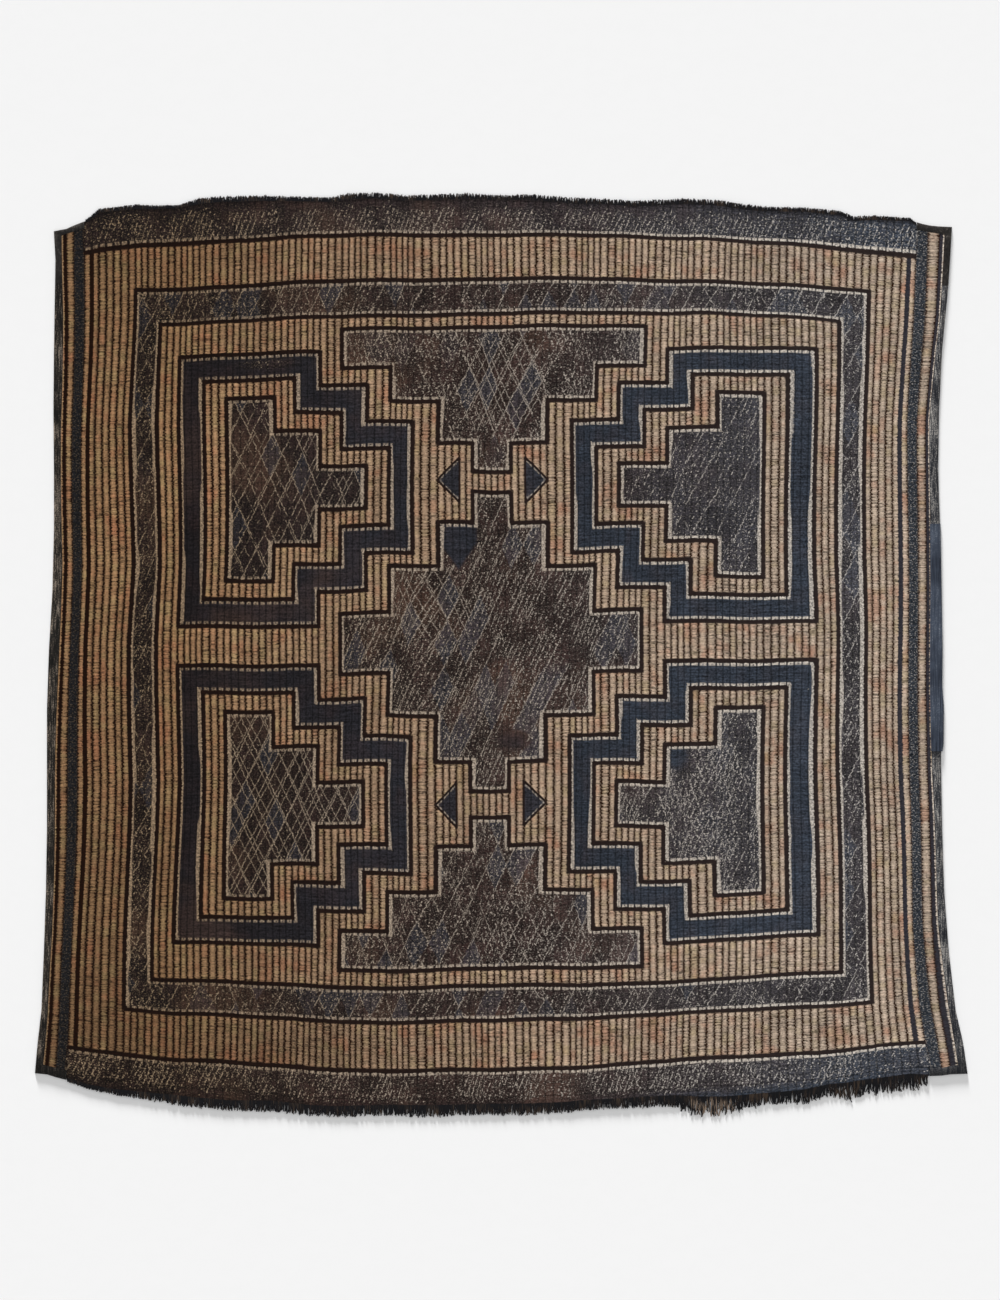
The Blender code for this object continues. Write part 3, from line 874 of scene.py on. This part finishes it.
# %% Folded strips
SECTION = (
    (0.0, 0.0016), (0.05, 0.0031), (0.16, 0.0043), (0.38, 0.0047),
    (0.62, 0.0047), (0.84, 0.0044), (0.95, 0.0039), (1.0, 0.0033),
)
SIDE_LINE = {"left": -62.6, "right": 61.5}
INNER_REACH = {"left": -60.03, "right": 59.03}
FOOT_EDGE = 1106.0
CAP_EDGE = 199.0
OUTLINE = np.array(
    [
        (224, 53.5, 952), (260, 55.5, 950), (290, 55, 948), (350, 54, 942), (410, 53.5, 939),
        (470, 54, 938), (530, 54, 940), (590, 52.5, 941), (650, 49, 942), (710, 47, 941.5),
        (770, 47, 941), (830, 47, 942), (890, 46, 944), (950, 44, 948.5), (1010, 41.5, 955.5),
        (1040, 38, 962.5), (1070, 35, 967.5),
    ],
    dtype=[("y", float), ("left", float), ("right", float)],
)


def strip_sheet(name, pairs, lift=0.0, seed=0):
    """A rounded strip between pairs of outer and inner places, in metres."""
    points = []
    for outer, inner in pairs:
        row = []
        for share, height in SECTION:
            x = outer[0] + (inner[0] - outer[0]) * share
            y = outer[1] + (inner[1] - outer[1]) * share
            lump = noise.noise((x * 60.0, y * 60.0, seed)) * 0.00035
            row.append((x, y, height + lump + lift))
        points.append(row)
    return closed_sheet(name, np.array(points))


def outline_x(side, y_metres):
    return plan(float(np.interp(MIDDLE_Y - y_metres / METRES_PER_PIXEL, OUTLINE["y"], OUTLINE[side])), 0.0)[0]


def side_pairs(side, levels):
    pairs = []
    outward = -1.0 if side == "left" else 1.0
    for level in levels:
        x, y = (float(part) for part in net(SIDE_LINE[side], level))
        pairs.append(((outline_x(side, y), y), (x + outward * JOINT, y)))
    return pairs


def end_pairs(side, reach, seam, edge, steps):
    """Pairs along an end of the mat, from the corner inwards."""
    pairs = []
    endward = 1.0 if seam < 600 else -1.0
    start = SIDE_LINE[side]
    for share in np.linspace(0.0, 1.0, steps + 1):
        column = start + (reach - start) * share
        x, y = (float(part) for part in net(column, seam))
        far = float(net(column, edge)[1])
        pairs.append(((x, far), (x, y + endward * JOINT)))
    corner_x = outline_x(side, pairs[0][0][1])
    pairs[0] = ((corner_x, pairs[0][0][1]), pairs[0][1])
    return pairs


bindings = []
for side, finish in (("left", binding_left_leather), ("right", binding_right_leather)):
    foot = end_pairs(side, INNER_REACH[side], SEAM_LEVELS["bottom"], FOOT_EDGE, 5)[::-1]
    up = side_pairs(side, np.linspace(1080.0, 268.0, 150))
    piece = strip_sheet("folded_binding_" + side, foot + up, seed=3)
    piece.data.materials.append(finish)
    bindings.append(placed(piece, "binding_leather", "binding_" + side))
    corner = side_pairs(side, np.linspace(267.85, 226.0, 12))
    corner += end_pairs(side, INNER_REACH[side], SEAM_LEVELS["top"], CAP_EDGE, 4)
    cap = strip_sheet("folded_cap_" + side, corner, seed=5)
    cap.data.materials.append(cap_leather)
    bindings.append(placed(cap, "binding_leather", "corner_cap_" + side))

mend_pairs = []
mend_levels = np.linspace(757.0, 526.0, 60)
for level, (outer, inner) in zip(mend_levels, side_pairs("right", mend_levels)):
    bulge = 0.0010 + 0.0035 * float(np.interp(level, (692, 712, 750, 757), (0, 1, 1, 0.5)))
    mend_pairs.append(((outer[0] + bulge, outer[1]), (inner[0] - 0.0010, inner[1])))
mend = strip_sheet("side_mend", mend_pairs, lift=0.0014, seed=8)
mend.data.materials.append(mend_leather)
placed(mend, "mend_leather", "edge_mend")
print("folded strips:", len(bindings), "and a mend")

# %% [markdown]
# ## End bands and fringe
# At each end the leather strips run on past the reeds. They lie side by side as a narrow band, and
# their cut ends are the fringe. The band is the same leather as the dark parts of the field, so it takes
# the field's finish, and its light specks thin out towards the edge. Places in the photograph give the
# line of the tips and how far the strands reach there. Each strand is a narrow grid with a few lengths,
# set at a slightly different lean and reach. One extrusion then gives all of them their thickness.

# %% Bands
BAND_COLUMNS = np.arange(-60.0, 59.01, 0.25)
# column, picture height of the strands' tips, and their reach past the band, in pixels
TIPS = {
    "top": (
        (-60, 221, 1), (-58, 209, 2), (-53, 204.5, 3), (-49.5, 205.5, 2), (-46.5, 205, 1.5),
        (-43, 198.5, 4), (-40, 196.5, 4), (-33.5, 195.5, 4), (-31, 196.5, 3), (-23.5, 197.5, 3),
        (-21.5, 193.5, 4), (-17, 193, 4), (-12.5, 195.5, 4), (-4, 193.5, 4), (1, 195.5, 3),
        (5, 194.5, 4), (10, 197.5, 4), (15.5, 199, 4), (20, 201, 4), (27.5, 198.5, 4),
        (32, 200.5, 4), (36.5, 205, 4), (40, 207, 3), (44.5, 207.5, 3), (49, 211, 3),
        (50.7, 216.5, 3), (53.5, 215.5, 3), (58, 218, 2), (59, 223, 1),
    ),
    "bottom": (
        (-60, 1081, 2), (-57.5, 1088.5, 3), (-54, 1094.5, 4), (-49, 1100, 6), (-44, 1105.5, 8),
        (-38.5, 1109.5, 8), (-31.5, 1111, 9), (-26.5, 1115, 9), (-22, 1116.5, 9), (-15, 1115, 9),
        (-9, 1116.5, 10), (0, 1114, 9), (5, 1115, 10), (10, 1112.5, 9), (13, 1109.5, 8),
        (19.5, 1107.5, 8), (25.5, 1106, 9), (27, 1106.5, 10), (29.5, 1113.5, 16), (33, 1115, 17),
        (35.8, 1109.5, 13), (38.8, 1104.5, 10), (44, 1103, 12), (47, 1095.5, 10), (49, 1100, 16),
        (52.5, 1093, 13), (57, 1089, 14), (59, 1083, 7),
    ),
}


def tip_line(end, columns):
    """Picture height of the tips at each column, and the reach of the strands there."""
    places = np.array(TIPS[end])
    return np.interp(columns, places[:, 0], places[:, 1]), np.interp(columns, places[:, 0], places[:, 2])


def end_band(end):
    seam = SEAM_LEVELS[end]
    outward = -1.0 if end == "top" else 1.0
    columns, share = np.meshgrid(BAND_COLUMNS, np.linspace(0.0, 1.0, 8))
    tips, reach = tip_line(end, columns)
    x, seam_y = net(columns, np.full(columns.shape, seam))
    edge_y = plan(0.0, tips - outward * reach)[1]
    y = seam_y * (1.0 - share) + edge_y * share
    levels = seam + outward * np.abs(y - seam_y) / METRES_PER_PIXEL
    z = 0.0028 + 0.0004 * (1.0 - (2.0 * (columns % 1.0) - 1.0) ** 2)
    piece = closed_sheet("end_band_" + end, np.stack([x, y, z], axis=2))
    numbers = weave_numbers(columns, levels)
    numbers["column"] = columns
    numbers["level"] = levels
    numbers["lattice"] = numbers["lattice"] * 0.0
    numbers["specks"] = numbers["specks"] * (1.0 - 0.85 * share)
    blue = 0.5 if end == "top" else np.interp(columns, (-60, 20, 32, 59), (0.25, 0.25, 1.0, 1.0))
    numbers["navy"] = numbers["navy"] * (1.0 - share) + blue * share
    grid_numbers(piece, numbers)
    piece.data.materials.append(reeds_and_leather)
    return piece


for end in SEAM_LEVELS:
    band = placed(end_band(end), "band_leather", "fringe_" + end)
    print(band.name, "faces:", len(band.data.polygons))

# %% Strands
STRAND_COUNTS = {"top": 1100, "bottom": 1400}
STRAND_LENGTHS = 4
ROOT_UNDER_BAND = 0.003


def strands(end):
    chance = random.Random(STRAND_COUNTS[end])
    outward = 1.0 if end == "top" else -1.0
    bm = bmesh.new()
    for number in range(STRAND_COUNTS[end]):
        column = -59.8 + 118.6 * (number + chance.uniform(-0.4, 0.4)) / (STRAND_COUNTS[end] - 1)
        tips, reach = (float(part) for part in tip_line(end, column))
        root_x = float(net(column, SEAM_LEVELS[end])[0])
        root_y = plan(0.0, tips + outward * reach)[1]
        drift = 0.25 * noise.noise((column * 1.3, float(STRAND_COUNTS[end]), 4.0))
        length = reach * METRES_PER_PIXEL * (chance.uniform(0.70, 1.12) + drift)
        width = chance.uniform(0.0010, 0.0021)
        lean = chance.gauss(0.0, 0.14)
        bend = chance.gauss(0.0, 0.16)
        made = bmesh.ops.create_grid(bm, x_segments=1, y_segments=STRAND_LENGTHS, size=1.0)["verts"]
        for place, vert in enumerate(made):
            along = (place // 2) / STRAND_LENGTHS
            out = (length + ROOT_UNDER_BAND) * along - ROOT_UNDER_BAND
            half = width * (1.0 - 0.45 * along) * (1.0 if place % 2 else -1.0)
            side = out * (lean + bend * along)
            sink = 0.0005 + 0.0013 * min(1.0, max(0.0, (reach - 8.0) / 4.0))
            height = 0.0033 - sink * along + 0.0006 * chance.random()
            vert.co = (root_x + half + side, root_y + outward * out, height)
    grown = bmesh.ops.extrude_face_region(bm, geom=bm.faces[:])["geom"]
    for vert in (item for item in grown if isinstance(item, bmesh.types.BMVert)):
        vert.co.z = max(0.0, vert.co.z - 0.0010)
    bmesh.ops.recalc_face_normals(bm, faces=bm.faces)
    return add_piece("strands_" + end, bm)


for end in SEAM_LEVELS:
    cut = placed(strands(end), "band_leather", "fringe_" + end)
    cut.data.materials.append(fringe_leather)
    print(cut.name, "strands:", STRAND_COUNTS[end], "faces:", len(cut.data.polygons))

# %% [markdown]
# ## Floor, light and camera
# The mat is shown on a pale seamless floor. A large, low, soft light from the top of the picture leaves
# the narrow shadow below the mat, and even light from all round fills the rest. So low a light would
# glare off the leather in views from the front, so it is left out of gloss. The camera hangs straight
# above, far off, so that the plan keeps its true shape.

# %% The floor
FLOOR_HALF = 18.0
bm = bmesh.new()
bmesh.ops.create_grid(bm, x_segments=1, y_segments=1, size=FLOOR_HALF)
floor = add_piece("studio_floor", bm)
floor_finish = Finish("pale_floor")
speckle = floor_finish.noise(floor_finish.place(), 30.0, 2.0)
floor_colour = floor_finish.mix(speckle, (0.900, 0.900, 0.900, 1.0), (0.912, 0.912, 0.912, 1.0))
floor_finish.done(floor_colour, 0.95 + speckle * 0.01, speckle, 0.0001)
floor.data.materials.append(floor_finish.material)
print("floor laid")

# %% Light and camera
SUN_HEIGHT = np.radians(8.0)
SUN_SIDE = np.radians(10.0)
SUN_SPREAD = np.radians(8.0)
SUN_STRENGTH = 8.75
SKY_STRENGTH = 0.62
CAMERA_HEIGHT = 9.0
SENSOR = 36.0
PICTURE_MIDDLE = (500.0, 650.0)
PICTURE_LENGTH = 1300 * METRES_PER_PIXEL

sun_data = bpy.data.lights.new("low_soft_light", "SUN")
sun_data.energy = SUN_STRENGTH
sun_data.angle = SUN_SPREAD
sun = bpy.data.objects.new("low_soft_light", sun_data)
sun.rotation_euler = (-(np.pi / 2.0 - SUN_HEIGHT), 0.0, SUN_SIDE)
sun.visible_glossy = False
bpy.context.scene.collection.objects.link(sun)

world = bpy.data.worlds.new("even_light")
world.use_nodes = True
world.node_tree.nodes["Background"].inputs["Color"].default_value = (1.0, 1.0, 1.0, 1.0)
world.node_tree.nodes["Background"].inputs["Strength"].default_value = SKY_STRENGTH
bpy.context.scene.world = world
bpy.context.scene.view_settings.view_transform = "Standard"

camera_data = bpy.data.cameras.new("overhead_camera")
camera_data.sensor_width = SENSOR
camera_data.lens = SENSOR * CAMERA_HEIGHT / PICTURE_LENGTH
camera = bpy.data.objects.new("overhead_camera", camera_data)
camera.location = (*plan(*PICTURE_MIDDLE), CAMERA_HEIGHT)
bpy.context.scene.collection.objects.link(camera)
bpy.context.scene.camera = camera
print("camera at", [round(part, 3) for part in camera.location])
